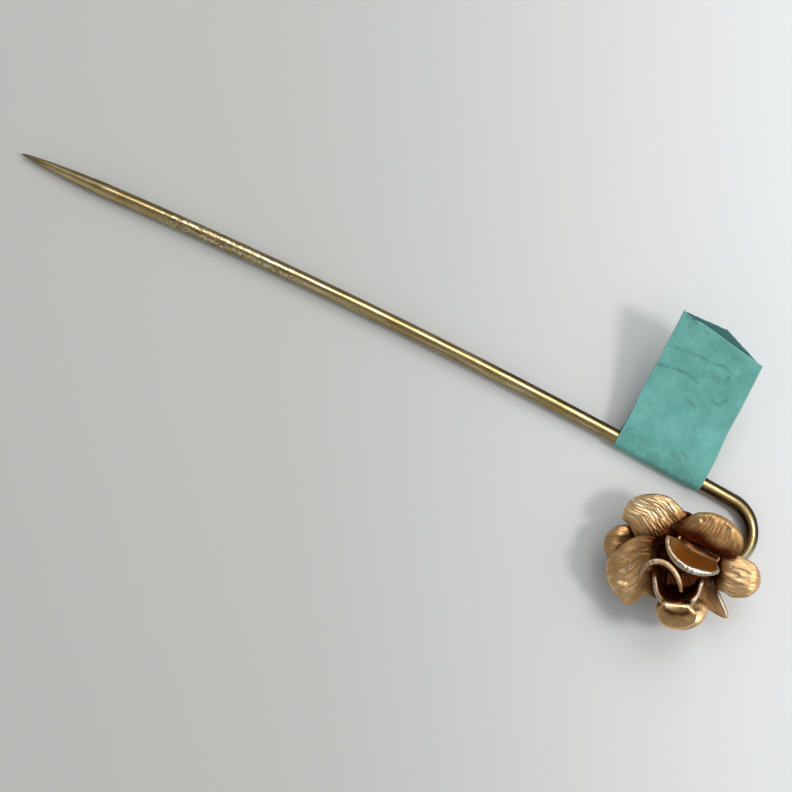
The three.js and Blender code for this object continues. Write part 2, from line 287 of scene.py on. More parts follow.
def worn_brass():
    """Drawn brass wire: lengthwise scratches, scuffs near the point, and dark tarnish with painted shade
    along its flanks.
    """
    shader = Shader("worn_brass")
    shader.set(Metallic=1)
    lay = shader.lay("along_mm", "turn_x", "turn_y")
    scratches = shader.noise(lay, (0.35, 9, 9), detail=4, roughness=0.65)
    grain = shader.noise(lay, (5, 5, 5), detail=4, roughness=0.65)
    patches = shader.noise(lay, (0.45, 1, 1), detail=3, roughness=0.5)

    yellow = shader.mix(shader.ramp(patches, 0.35, 0.7), BRASS["deep"], BRASS["yellow"])
    scratched = shader.mix(shader.ramp(scratches, 0.48, 0.64, 0, 0.85), yellow, BRASS["scratched"])
    scuff = shader.attribute("scuff")
    flecks = shader.math("MULTIPLY", shader.ramp(grain, 0.4, 0.5, 1, 0), scuff)
    flecked = shader.mix(flecks, scratched, BRASS["fleck"])
    # Painted pale reflection on the crook.
    painted_crook_reflection = shader.mix(shader.attribute("painted_crook_reflection"), flecked, BRASS["painted_crook_reflection"])
    specks = shader.math("MULTIPLY", shader.ramp(grain, 0.54, 0.66, 0, 0.85), scuff)
    specked = shader.mix(specks, painted_crook_reflection, BRASS["speck"])
    # Tarnish, with painted shade along the flanks.
    shader.plug(shader.mix(shader.attribute("tarnish_and_shade"), specked, BRASS["tarnish_and_shade"]), "Base Color")
    shader.plug(shader.ramp(grain, 0.3, 0.7, *BRASS_ROUGHNESS), "Roughness")
    relief = shader.math("ADD", scratches, shader.math("MULTIPLY", grain, 0.3))
    shader.bump(relief, 0.28, SCRATCH_DEPTH * MM)
    return shader.material


def teal_paper():
    """Uncoated teal paper: soft fibres, faint mottling, grey smudges, painted shade on the lower leaf and in
    broad patches, and rubbed edges.
    """
    shader = Shader("teal_paper")
    shader.set(Metallic=0, Roughness=0.9, Specular_IOR_Level=0.2)
    lay = shader.lay("across_mm", "along_mm")
    fibres = shader.noise(lay, (5, 8, 1), detail=6, roughness=0.65, distortion=0.6)
    mottle = shader.noise(lay, (0.55, 0.45, 1), detail=4, roughness=0.6)

    teal = shader.mix(shader.ramp(mottle, 0.3, 0.72), TEAL["deep"], TEAL["pale"])
    fibrous = shader.mix(shader.ramp(fibres, 0.45, 0.75, 0, 0.22), teal, TEAL["fibre"])
    # Grey smudges, and painted shade on the lower leaf and in broad patches.
    smudged = shader.mix(shader.attribute("smudge_and_shade"), fibrous, TEAL["smudge_and_shade"])
    shader.plug(shader.mix(shader.attribute("worn"), smudged, TEAL["worn"]), "Base Color")
    shader.bump(fibres, 0.3, FIBRE_DEPTH * MM)
    return shader.material


make_camera()
make_world()
make_floor()
area_light("window", **WINDOW)
area_light("lamp", **LAMP)
area_light("card", **CARD)
bpy.context.scene.view_settings.view_transform = "Standard"

rose_metal = rose_gold()
brass = worn_brass()
paper = teal_paper()

# -------- mesh building


def smoothstep(value, low, high):
    """0 below low, 1 above high, and an easy curve between."""
    t = np.clip((value - low) / (high - low), 0, 1)
    return t * t * (3 - 2 * t)


def eased(steps, s):
    """Starts at the first value and eases to each next one: [place, run, value]."""
    value = np.full_like(s, steps[0], dtype=float)
    for place, run, target in steps[1:]:
        value += (target - value) * smoothstep(s, place - run / 2, place + run / 2)
    return value


def smooth_noise(rng, x, y, cells_x, cells_y, wrap=False):
    """Value noise from -1 to 1 over x and y from 0 to 1, on a grid of cells with smooth steps."""
    table = rng.uniform(-1, 1, (cells_y + 2, cells_x + 2))
    if wrap:
        table[:, cells_x:] = table[:, :2]
    x, y = x * cells_x, y * cells_y
    i, j = np.clip(x.astype(int), 0, cells_x - 1), np.clip(y.astype(int), 0, cells_y - 1)
    fx, fy = smoothstep(x - i, 0, 1), smoothstep(y - j, 0, 1)
    low = table[j, i] * (1 - fx) + table[j, i + 1] * fx
    high = table[j + 1, i] * (1 - fx) + table[j + 1, i + 1] * fx
    return low * (1 - fy) + high * fy


def mark(x, y, path, reach):
    """1 on a broken line, falling smoothly to 0 away from it."""
    least = np.full_like(x, 1e9)
    for (ax, ay), (bx, by) in zip(path[:-1], path[1:]):
        dx, dy = bx - ax, by - ay
        t = np.clip(((x - ax) * dx + (y - ay) * dy) / (dx * dx + dy * dy + 1e-9), 0, 1)
        least = np.minimum(least, np.hypot(x - ax - t * dx, y - ay - t * dy))
    return np.exp(-(least / reach) ** 2)


def strongest(x, y, marks):
    """The strongest mark at each point, of marks given as (strength, reach, path)."""
    most = np.zeros_like(x)
    for strength, reach, path in marks:
        most = np.maximum(most, strength * mark(x, y, path, reach))
    return most


def bezier(t, start, pull, end):
    """A curve from start to end, drawn towards pull."""
    return (1 - t) ** 2 * start + 2 * t * (1 - t) * pull + t * t * end


def unit(vectors):
    """The same directions at length 1."""
    return vectors / np.maximum(np.linalg.norm(vectors, axis=-1, keepdims=True), 1e-12)


def make_piece(node, suffix, body, points, faces, values, material):
    """One closed smooth mesh in the row frame, in place of a CAD node, with values kept at its points."""
    name = node + suffix
    mesh = bpy.data.meshes.new(name)
    mesh.from_pydata((np.asarray(points) * MM).tolist(), [], faces)
    mesh.polygons.foreach_set("use_smooth", [True] * len(mesh.polygons))
    for key, value in values.items():
        flat = np.asarray(value, np.float32).ravel()
        mesh.attributes.new(key, "FLOAT", "POINT").data.foreach_set("value", flat)
    mesh.materials.append(material)
    mesh.update()
    piece = bpy.data.objects.new(name, mesh)
    bpy.context.scene.collection.objects.link(piece)
    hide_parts(node)
    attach(piece, body)


def grid_normals(points):
    """Unit normals of a grid of points."""
    return unit(np.cross(np.gradient(points, axis=1), np.gradient(points, axis=0)))


class ClosedSheet:
    """A sheet as one closed mesh: upper grid, lower grid, then the rings that round its rim."""

    def __init__(self, rows, columns, rim_steps):
        self.rim_steps = rim_steps
        index = np.arange((rows + 1) * (columns + 1)).reshape(rows + 1, columns + 1)
        edge = np.concatenate([index[0, :-1], index[:-1, -1], index[-1, :0:-1], index[:0:-1, 0]])
        self.edge = edge
        self.faces = []
        for grid in (index, (index + index.size)[:, ::-1]):
            quads = np.stack([grid[:-1, :-1], grid[:-1, 1:], grid[1:, 1:], grid[1:, :-1]], -1)
            self.faces += quads.reshape(-1, 4).tolist()
        inner_rings = 2 * index.size + np.arange((rim_steps - 1) * edge.size).reshape(-1, edge.size)
        rings = [edge, *inner_rings, edge + index.size]
        for a, b in zip(rings[:-1], rings[1:]):
            self.faces += np.stack([a, b, np.roll(b, -1), np.roll(a, -1)], -1).tolist()

    def points(self, upper, middle, lower, normal, half, bulge):
        """All points; the rim is half thick on each side of the middle and stands out by the bulge."""
        at_edge = middle.reshape(-1, 3)[self.edge]
        up = normal.reshape(-1, 3)[self.edge]
        outward = unit(np.cross(np.roll(at_edge, -1, 0) - np.roll(at_edge, 1, 0), up))
        half = np.broadcast_to(half, middle.shape[:2]).ravel()[self.edge][:, None]
        bulge = np.broadcast_to(bulge, self.edge.shape)[:, None]
        rings = []
        for step in range(1, self.rim_steps):
            angle = math.pi * step / self.rim_steps
            rings.append(at_edge + up * half * math.cos(angle) + outward * bulge * math.sin(angle))
        return np.concatenate([upper.reshape(-1, 3), lower.reshape(-1, 3), *rings])

    def spread(self, top, bottom=0.0, rim=0.0):
        """Values of the upper grid, the lower grid and the rim's rings, in the order of the points."""
        bottom, rim = (np.broadcast_to(value, top.shape).ravel() for value in (bottom, rim))
        return np.concatenate([top.ravel(), bottom, np.tile(rim[self.edge], self.rim_steps - 1)])

    def all_over(self, values):
        return self.spread(values, values, values)


def tube_faces(stations, sides):
    """Faces of a tube of rings whose two ends are closed by one polygon each."""
    index = np.arange(stations * sides).reshape(stations, sides)
    a, b = index[:-1], index[1:]
    quads = np.stack([a, np.roll(a, -1, 1), np.roll(b, -1, 1), b], -1).reshape(-1, 4).tolist()
    return quads + [index[0, ::-1].tolist(), index[-1].tolist()]


# -------- petals

SHEET = 0.3  # thickness of the petals' metal
ROUND_FROM = 0.4  # share of a petal's length where its outline starts to round
TIP_ROUNDING = 0.44
SPINE_POINTS = 400
ROOT_RING = 0.72
WIRE_RADIUS = 0.55
FIT_GAP = 0.03
PLATE_RADIUS = 2.7
PLATE_THICKNESS = 0.4
BASE_Z = 2 * WIRE_RADIUS + FIT_GAP
PLATE_TOP = BASE_Z + PLATE_THICKNESS
BACK_ROOT_Z = PLATE_TOP + FIT_GAP + SHEET / 2
FRONT_ROOT_Z = BACK_ROOT_Z + SHEET + FIT_GAP
BUD_ROOT_Z = FRONT_ROOT_Z + SHEET + FIT_GAP
COLUMNS = 180
ROWS = 96
RIM_STEPS = 6

# Each petal's azimuth round the rose, its length, and what changes along it: slope, half width, cup (how
# tightly it curves across), tilt and sway. A change is eased: the first value, then [place, run, value].
BACK_PETALS = [
    dict(name="back_petal_1", azimuth=189, length=5.65, slope=[4, [2.2, 1.6, 22], [5.0, 1.6, -30]],
         half_width=[0.4, [1.8, 2.2, 1.75]], cup=[0.02, [2.5, 2.0, 0.08]]),
    dict(name="back_petal_2", azimuth=255, length=2.5, slope=[2, [2.0, 1.6, 6]],
         half_width=[0.4, [1.6, 2.0, 1.1]], cup=[0.02, [2.2, 2.0, 0.1]]),
    dict(name="back_petal_3", azimuth=334, length=4.5, slope=[4, [2.2, 1.6, 16]],
         half_width=[0.4, [1.6, 1.4, 0.95], [3.6, 2.4, 0.5]], cup=[0.02, [2.5, 2.0, 0.2]],
         tilt=[0, [2.6, 2.0, 50]]),
    dict(name="back_petal_4", azimuth=42, length=3.6, slope=[4, [2.0, 1.6, 12]],
         half_width=[0.35, [1.8, 2.0, 1.2]], cup=[0.02, [2.2, 2.0, 0.1]]),
    dict(name="back_petal_5", azimuth=116, length=3.1, slope=[4, [2.0, 1.6, 14]],
         half_width=[0.4, [1.6, 2.0, 1.2]], cup=[0.02, [2.2, 2.0, 0.1]]),
]

FRONT_PETALS = [
    dict(name="front_petal_1", azimuth=152.5, length=6.3, rounding=0.42,
         slope=[0, [1.2, 0.8, 72], [2.4, 1.2, 8], [5.6, 1.4, -45]], half_width=[0.4, [1.9, 2.2, 2.05]],
         cup=[0.1, [2.2, 1.5, -0.06]], tilt=[0, [2.4, 1.8, -9]],
         sway=[0, [2.4, 1.4, -0.2], [5.3, 1.6, 0.45]]),
    dict(name="front_petal_2", azimuth=89, length=5.15, rounding=0.46,
         slope=[0, [0.9, 0.7, 80], [2.8, 0.9, 4], [4.9, 1.0, -45]], half_width=[0.35, [2.0, 1.5, 2.7]],
         cup=[0.1, [2.6, 1.0, -0.08]], sway=[0, [2.6, 3.0, -0.9]]),
    dict(name="front_petal_3", azimuth=14, length=5.9, rounding=0.46,
         slope=[0, [1.6, 0.8, 70], [2.9, 1.2, 4], [5.2, 1.0, -35]],
         half_width=[0.4, [2.1, 1.6, 1.4], [3.6, 1.0, 1.72]], cup=[0.1, [2.4, 1.2, -0.12]],
         sway=[0, [3.2, 2.0, -0.2]]),
    dict(name="front_petal_4", azimuth=293, length=4.4,
         slope=[0, [1.9, 0.9, 35], [3.2, 1.0, 6], [4.3, 0.8, -40]], half_width=[0.4, [1.9, 1.8, 2.0]],
         cup=[0.1, [2.4, 1.2, -0.1]]),
    dict(name="front_petal_5", azimuth=214, length=5.9, rounding=0.46,
         slope=[0, [0.7, 0.7, 58], [2.4, 1.8, -4], [5.2, 1.2, -40]],
         half_width=[0.4, [1.7, 1.4, 2.3], [3.8, 1.8, 2.75]], cup=[0.2, [2.6, 1.4, -0.03]],
         tilt=[0, [2.2, 1.8, -17]], sway=[0, [2.4, 1.0, -0.3], [3.9, 1.8, 0.36]]),
]

BUD_PETALS = [
    dict(name="bud_petal_1", azimuth=268, root=[-0.05, 1.5, 0.4], length=3.65,
         slope=[14, [0.55, 0.6, 62], [2.8, 1.2, 82]], half_width=[1.8, [1.6, 1.8, 2.65]], cup=[0.3],
         curl=-0.35, sway=[0.4, [1.4, 1.6, 0]]),
    dict(name="bud_petal_2", azimuth=87, root=[-1.7, -0.85, 1.15], length=2.0, round_from=0, slope=[82],
         half_width=[0.6, [0.9, 0.8, 2.95]], cup=[0.62], curl=0.35, sway=[0, [0.9, 0.8, -0.2]]),
    dict(name="bud_petal_3", azimuth=290, root=[-0.23, -0.95, 0.2], length=5.9, rounding=0.36,
         slope=[8, [1.0, 0.6, 68], [4.0, 0.6, -10], [5.2, 0.8, -42]],
         half_width=[0.5, [1.5, 1.0, 2.44], [3.1, 1.5, 1.15], [4.3, 0.7, 1.65]],
         cup=[0.1, [1.3, 1.0, 0.58], [3.3, 1.2, 0.08], [4.5, 0.8, -0.12]], sway=[0, [4.6, 1.6, 0.15]]),
]

# How a petal is finished, where it differs from PLAIN. Lengths are in mm; a path's points are
# (across, along) the petal, and marks are (strength, height or depth; reach; path).
#   brush, shine, polish: strength of the brushing, of the painted highlight on its crests and of the gloss
#   grooves, smooth_side: depth of the brushed grooves, 1 as usual; how unbrushed the left side is
#   painted_shade: how far out the root's painted shade stays full, and where it ends; shade_marks: more, as
#       marks
#   veil, under_shade, dark_rim: painted shade over the upper face, on the lower face and in the cut edge
#   rim, rim_width, rim_fade: silver of the cut edge, its reach over the face, its loss on the right
#   left_only, silver_to: whether only the left edge is silver; where along the petal it fades out
#   gleam: place across the petal and reach of the rim's painted highlight; glints: painted highlights, as
#       marks
#   rolled, swell, bulge, beads: how far the edge turns down, thickens and stands out; its beads
#   ridges, dents: relief, as marks; painted_pocket_reflection: strength of the painted orange reflection in
#       the pocket
PAST_TIP = (90, 91)
OFF_PETAL = (9, 1)
PLAIN = dict(
    brush=0.0, shine=0.0, polish=0.0, smooth_side=0.0, grooves=1.0, veil=0.0, under_shade=0.25, dark_rim=0.0,
    shade_marks=[], rim=0.0, rim_width=0.14, left_only=False, rim_fade=0.0, silver_to=PAST_TIP,
    gleam=OFF_PETAL, rolled=0.0, swell=0.0, bulge=0.35, beads=0.006, ridges=[], dents=[], glints=[],
    painted_pocket_reflection=0.0,
)
FINISHES = {
    "back_petal_1": dict(
        brush=0.6, shine=0.15, dark_rim=0.7, rolled=0.1, painted_shade=(2.4, 5.2), veil=0.25,
        ridges=[(0.05, 0.3, [(-0.6, 5.2), (-0.7, 4.8)])],
    ),
    "back_petal_2": dict(brush=0.4, rim=0.1, dark_rim=0.4, rolled=0.05, painted_shade=(1.5, 3.5), veil=0.6),
    "back_petal_3": dict(
        brush=0.6, shine=0.35, rim=0.9, left_only=True, rim_width=0.7, dark_rim=0.2, painted_shade=(1.2, 3),
    ),
    "back_petal_4": dict(brush=0.5, shine=0.1, rim=0.2, dark_rim=0.3, rolled=0.05, painted_shade=(1.5, 3.5), veil=0.4),
    "back_petal_5": dict(brush=0.4, dark_rim=0.6, rolled=0.05, painted_shade=(2, 4), veil=0.7),
    "front_petal_1": dict(
        brush=1.2, shine=1, smooth_side=0.8, dark_rim=0.9, rolled=0.14, painted_shade=(2.6, 4.2), grooves=2.8,
        ridges=[
            (0.07, 0.22, [(-1.55, 4.3), (-1.55, 3.5)]), (0.07, 0.2, [(0.75, 5.95), (0.5, 4.9)]),
            (0.04, 0.12, [(-1.2, 5.3), (-1, 4.6)]), (0.04, 0.1, [(0.2, 5.6), (0.1, 4.7)]),
        ],
        dents=[(0.1, 0.5, [(-0.3, 5.2), (-0.2, 4.2)]), (0.05, 0.35, [(-1, 4.3), (-0.8, 3.6)])],
        glints=[
            (0.9, 0.35, [(0.8, 5.9), (0.7, 5)]), (1, 0.45, [(-0.3, 5.8), (-0.1, 4.4)]),
            (0.9, 0.3, [(-1.2, 5.2), (-1.5, 3.6)]),
        ],
    ),
    "front_petal_2": dict(
        brush=1.1, shine=0.28, rim=0.2, dark_rim=0.45, rolled=0.16, painted_shade=(2.35, 4.5), veil=0.36, grooves=1.5,
        ridges=[
            (0.05, 0.13, [(0.95, 4.76), (0.75, 4.8)]), (0.06, 0.14, [(-0.4, 4.78), (-0.8, 4.65)]),
            (0.08, 0.32, [(1.3, 4.22), (1.26, 4.16)]),
        ],
        dents=[(0.14, 0.16, [(1.3, 4.22), (1.26, 4.16)])],
        glints=[
            (1, 0.24, [(1.3, 4.22), (1.26, 4.16)]), (1, 0.16, [(1, 4.78), (0.7, 4.84)]),
            (0.9, 0.16, [(-0.1, 4.85), (-1, 4.6)]),
        ],
    ),
    "front_petal_3": dict(
        brush=1, shine=0.7, rim=0.1, dark_rim=0.5, rolled=0.14, painted_shade=(2.1, 3.5), grooves=1.5,
        ridges=[
            (0.1, 0.15, [(-0.06, 3), (-0.2, 3.8), (-0.3, 4.5)]), (0.04, 0.1, [(0.7, 3.6), (0.8, 4.6)]),
            (0.03, 0.1, [(0.2, 4.2), (0.2, 4.9)]),
        ],
        dents=[(0.07, 0.2, [(0.25, 3.1), (0.1, 3.9)])],
    ),
    "front_petal_4": dict(
        brush=0.7, shine=0.5, dark_rim=0.4, rolled=0.08, painted_shade=(1.8, 3), veil=0.05,
        ridges=[(0.07, 0.22, [(0.95, 3.7), (1.15, 3)])],
        glints=[(1, 0.22, [(1.05, 3.8), (1.3, 3)])],
    ),
    "front_petal_5": dict(
        brush=1.2, shine=0.55, rim=0.1, dark_rim=0.4, rolled=0.14, painted_shade=(1.9, 4), veil=0.18, grooves=1.9,
        ridges=[
            (0.14, 0.16, [(-0.2, 5.6), (-0.4, 5.7)]), (0.09, 0.16, [(-0.5, 4.85), (-0.3, 3.8)]),
            (0.06, 0.12, [(-0.4, 4.2), (-0.85, 4)]), (0.04, 0.14, [(0.3, 5.4), (0.5, 4.6)]),
            (0.03, 0.12, [(0.9, 5.2), (0.9, 4.5)]), (0.03, 0.12, [(1.3, 4.8), (1.2, 4.2)]),
        ],
        dents=[(0.12, 0.22, [(0, 5.4), (0.1, 4.8)]), (0.1, 0.4, [(0.2, 4.4), (0, 3.6)])],
        glints=[
            (0.9, 0.12, [(-0.5, 4.85), (-0.35, 4.1), (-0.3, 3.8)]),
            (0.9, 0.14, [(-0.2, 5.6), (-0.45, 5.75)]), (0.6, 0.3, [(0.5, 5.2), (0.9, 4.6)]),
        ],
    ),
    "bud_petal_1": dict(
        rim=1, painted_shade=(0, 0.9), polish=0.5, under_shade=1, beads=0.018, bulge=0.6, rim_width=0.16,
        painted_pocket_reflection=1, swell=0.6, rim_fade=0.6, gleam=(0.15, 0.35),
        shade_marks=[(0.35, 0.5, [(-1.9, 1.2), (-1.7, 2.6)]), (0.25, 0.3, [(-0.6, 2.9), (1.6, 2.9)])],
    ),
    "bud_petal_2": dict(
        brush=0.15, rim=0.35, dark_rim=0.6, painted_shade=(-1, -0.5), veil=0.75, under_shade=0.9, gleam=(0.3, 0.25),
        beads=0.004, bulge=0.45, rim_width=0.06, swell=0.4,
    ),
    "bud_petal_3": dict(
        rim=0.9, rolled=0.1, painted_shade=(3.2, 3.8), polish=0.9, under_shade=0.8, beads=0.02, bulge=0.4,
        rim_width=0.16, silver_to=(3.6, 4), swell=0.4,
        shade_marks=[(0.9, 0.22, [(-0.8, 4.38), (-0.35, 4.56), (0.35, 4.58), (0.8, 4.4)])],
        glints=[(1, 0.2, [(-0.95, 3.95), (-0.5, 4.1)]), (0.8, 0.14, [(0.9, 4), (0.5, 4.1)])],
    ),
}
OUTER_PART = (0.3, 0.55)
ROLL_WIDTH = 0.5
SWELL_WIDTH = 0.45
# RIDGE_GLINT: strength of the painted highlight along each ridge.
RIDGE_GLINT = 0.45
WELL_BRUSHED = 0.3
STIFF_SHEET = 0.25
SEED_STEP = 3.7


def petal_surface(petal, u, v):
    """Points of the petal's middle surface in mm from its root, with their places along and across it.
    u runs from the left edge, 1, to the right one, -1, and v from the root, 0, to the tip, 1."""
    round_from = petal.get("round_from", ROUND_FROM)
    rounding = petal.get("rounding", TIP_ROUNDING)
    end = np.maximum(0, (v - round_from) / (1 - round_from))
    share = u * np.sqrt(1 - rounding * end ** 2)
    reach = round_from + (1 - round_from) * end * np.sqrt(1 - rounding * u ** 2)
    along = petal["length"] * np.where(v < round_from, v, reach)

    line = np.linspace(0, petal["length"], SPINE_POINTS)
    bend = np.radians(eased(petal["slope"], line))
    out, rise = (np.concatenate([[0], np.cumsum((run[1:] + run[:-1]) / 2 * (line[1] - line[0]))])
                 for run in (np.cos(bend), np.sin(bend)))
    sway = eased(petal.get("sway", [0]), along)
    spine = np.stack([np.interp(along, line, out), sway, np.interp(along, line, rise)], -1)

    slope = np.radians(eased(petal["slope"], along))
    tilt = np.radians(eased(petal.get("tilt", [0]), along))[..., None]
    zero = np.zeros_like(along)
    normal = np.stack([-np.sin(slope), zero, np.cos(slope)], -1)
    left = np.stack([zero, zero + 1, zero], -1)
    side = left * np.cos(tilt) + normal * np.sin(tilt)
    face = normal * np.cos(tilt) - left * np.sin(tilt)

    across = share * eased(petal["half_width"], along)
    cup = eased(petal["cup"], along) * (1 + petal.get("curl", 0) * share) + 1e-6
    inward = (np.sin(across * cup) / cup)[..., None]
    lift = ((1 - np.cos(across * cup)) / cup)[..., None]
    return spine + side * inward + face * lift, along, across


def placed(points, petal, root_z):
    """Turns a petal to its azimuth and sets it on its root, in the row frame."""
    azimuth = math.radians(petal["azimuth"])
    c, s = math.cos(azimuth), math.sin(azimuth)
    x, y, z = petal.get("root", (ROOT_RING * c, ROOT_RING * s, 0))
    turned_x = points[:, 0] * c - points[:, 1] * s
    turned_y = points[:, 0] * s + points[:, 1] * c
    return np.stack([turned_x, turned_y, points[:, 2]], -1) + ROSE_MM + np.array([x, y, root_z + z])


class PetalGrid:
    """A petal's smooth middle surface, and where each of its points lies on the petal."""

    def __init__(self, petal):
        self.u, self.v = np.meshgrid(np.linspace(1, -1, COLUMNS + 1), np.linspace(0, 1, ROWS + 1))
        self.middle, self.along, self.across = petal_surface(petal, self.u, self.v)
        self.normal = grid_normals(self.middle)
        half_width = np.maximum(np.abs(self.across).max(axis=1, keepdims=True), 0.1)
        self.from_rim = np.minimum((1 - np.abs(self.u)) * half_width, (1 - self.v) * petal["length"])
        self.outer = smoothstep(self.v, *OUTER_PART)

    def noise(self, rng, cells_u, cells_v):
        return smooth_noise(rng, (self.u + 1) / 2, self.v, cells_u, cells_v)


def petal_relief(grid, finish, rng):
    """Height of the formed petal over the smooth one: uneven sheet, turned-down edge, ridges and dents."""
    relief = 0.05 * grid.noise(rng, 3, 3) + 0.02 * grid.noise(rng, 7, 6)
    relief = relief * grid.outer * (1.0 if finish["brush"] > WELL_BRUSHED else STIFF_SHEET)
    relief = relief - finish["rolled"] * np.clip(1 - grid.from_rim / ROLL_WIDTH, 0, 1) ** 2 * grid.outer
    for height, reach, path in finish["ridges"]:
        relief = relief + height * mark(grid.across, grid.along, path, reach)
    for depth, reach, path in finish["dents"]:
        relief = relief - depth * mark(grid.across, grid.along, path, reach)
    return relief


def petal_glint(grid, finish, rng):
    """Where the brushed face gets painted highlight: along its ridges and glints, broken into streaks."""
    broken = 0.55 + 0.6 * grid.noise(rng, 26, 16)
    ridges = [(RIDGE_GLINT, reach, path) for _, reach, path in finish["ridges"]]
    glint = strongest(grid.across, grid.along, ridges + finish["glints"])
    return np.clip(glint * broken, 0, 1) * grid.outer


def petal_grooves(grid, finish, rng):
    """Height of the brushed grooves, which fan out along the petal."""
    grooves = 0.009 * grid.noise(rng, 34, 9)
    for cells_u, cells_v in ((45, 14), (19, 6)):
        grooves = grooves + 0.006 * grid.noise(rng, cells_u, cells_v)
    return grooves * finish["grooves"] * finish["brush"] * grid.outer


def silver_part(grid, finish):
    """How much of its silver the edge has at each point, from 0 to 1."""
    part = smoothstep(grid.u, 0.3, 0.8) if finish["left_only"] else np.ones_like(grid.u)
    part = part * (1 - smoothstep(grid.along, *finish["silver_to"]))
    return part * (1 - finish["rim_fade"] * smoothstep(-grid.u, 0.1, 1.0))


def petal_values(grid, sheet, finish, rng, glint, textured, seed):
    """The point values that the rose-gold material reads."""
    part = silver_part(grid, finish)
    rim_width = finish["rim_width"]
    near_rim = (1 - smoothstep(grid.from_rim, rim_width * 0.4, rim_width)) * grid.outer * part
    silver = finish["rim"] * near_rim * (0.8 if finish["rim"] > 0.5 else 0.5)
    patches = np.clip(0.75 + 0.6 * grid.noise(rng, 5, 6), 0, 1)

    # Painted shade: full at the root, over the face by the veil and the marks, beneath the face and in the
    # dark rim.
    root_shade = 1 - smoothstep(grid.along + 0.25 * grid.noise(rng, 6, 5), *finish["painted_shade"])
    painted_shade = np.clip(root_shade + finish["veil"] * (0.75 + 0.5 * grid.noise(rng, 5, 5)), 0, 1)
    painted_shade = np.maximum(painted_shade, strongest(grid.across, grid.along, finish["shade_marks"]))
    under_shade = np.maximum(painted_shade, finish["under_shade"])
    edge_shade = np.maximum(painted_shade, finish["dark_rim"]) * (1 - finish["rim"])
    polish = finish["polish"] * (1 - root_shade)

    # Painted highlight along a stretch of the rim, broken into dashes.
    place, reach = finish["gleam"]
    dashes = smoothstep(smooth_noise(rng, (grid.u + 1) / 2, 0 * grid.v, 30, 1), -0.4, 0.4)
    gleam = np.exp(-((grid.u - place) / reach) ** 2) * dashes
    return {
        "fan": sheet.all_over(grid.u),
        "along_mm": sheet.all_over(grid.along),
        "petal_seed": sheet.all_over(np.full_like(grid.u, SEED_STEP * seed)),
        "shine": sheet.spread(finish["shine"] * grid.outer * textured * patches),
        "brush": sheet.spread(finish["brush"] * textured, 0.3, 0.2),
        "polish": sheet.spread(polish, 0.2 * polish, polish),
        "painted_shade": sheet.spread(painted_shade, under_shade, edge_shade),
        "silver": sheet.spread(silver, 0.4 * silver, finish["rim"] * grid.outer * part),
        "glint": sheet.spread(glint),
        "gleam": sheet.spread(gleam * near_rim, 0.0, gleam),
        # Painted orange reflection on the pocket's upper face.
        "painted_pocket_reflection": sheet.spread(finish["painted_pocket_reflection"] * (1 - root_shade)),
    }


def petal_piece(petal, root_z, seed):
    """One petal: a formed sheet with relief, brushed grooves and a rounded, beaded cut edge."""
    finish = {**PLAIN, **FINISHES[petal["name"]]}
    rng = np.random.RandomState(seed)
    grid = PetalGrid(petal)
    middle = grid.middle + grid.normal * petal_relief(grid, finish, rng)[..., None]
    glint = petal_glint(grid, finish, rng)
    textured = 1 - finish["smooth_side"] * smoothstep(grid.u, 0.25, 0.6)
    grooves = petal_grooves(grid, finish, rng) * textured
    near_edge = np.clip(1 - grid.from_rim / SWELL_WIDTH, 0, 1) * (1 - grid.u ** 4) * grid.outer
    half = SHEET / 2 * (1 + finish["swell"] * near_edge)
    upper = middle + grid.normal * (half + grooves)[..., None]
    lower = middle - grid.normal * half[..., None]

    sheet = ClosedSheet(ROWS, COLUMNS, RIM_STEPS)
    round_edge = np.linspace(0, 1, sheet.edge.size)
    beads = finish["beads"] * smooth_noise(rng, round_edge, 0 * round_edge, 64, 1)
    bulge = finish["bulge"] * SHEET / 2 + beads
    points = sheet.points(upper, middle, lower, grid.normal, half, bulge)
    values = petal_values(grid, sheet, finish, rng, glint, textured, seed)
    make_piece(petal["name"], "_formed", "pin", placed(points, petal, root_z), sheet.faces,
               values, rose_metal)


WHORLS = [(BACK_PETALS, BACK_ROOT_Z, 11), (FRONT_PETALS, FRONT_ROOT_Z, 21), (BUD_PETALS, BUD_ROOT_Z, 31)]
for petals, root_z, first_seed in WHORLS:
    for number, petal in enumerate(petals):
        petal_piece(petal, root_z, first_seed + number)

# -------- calyx plate and rivet

TURNED_SIDES = 96


def turned_piece(node, profile, seed):
    """A turned piece about the rose's axis: profile of (radius, height) in mm, with faint hammer marks."""
    rng = np.random.RandomState(seed)
    profile = np.array(profile)
    share = np.linspace(0, 1, len(profile))
    turn = np.linspace(0, 1, TURNED_SIDES, endpoint=False)
    t, p = np.meshgrid(turn, share)
    radius = profile[:, :1] * (1 + 0.006 * smooth_noise(rng, t, p, 24, 4, wrap=True))
    angle = 2 * math.pi * t
    rings = np.stack([radius * np.cos(angle), radius * np.sin(angle), profile[:, 1:] + 0 * t], -1)
    points = rings.reshape(-1, 3) + ROSE_MM
    # The plate and rivet, deep in the middle of the rose, get nearly full painted shade.
    flat = dict(petal_seed=SEED_STEP * seed, brush=0.4, polish=0.2, painted_shade=0.95, shine=0, silver=0, glint=0,
                gleam=0, painted_pocket_reflection=0)
    values = {name: np.full(len(points), value) for name, value in flat.items()}
    values.update(fan=2 * np.sin(angle), along_mm=radius)
    make_piece(node, "_turned", "pin", points, tube_faces(len(profile), TURNED_SIDES), values,
               rose_metal)


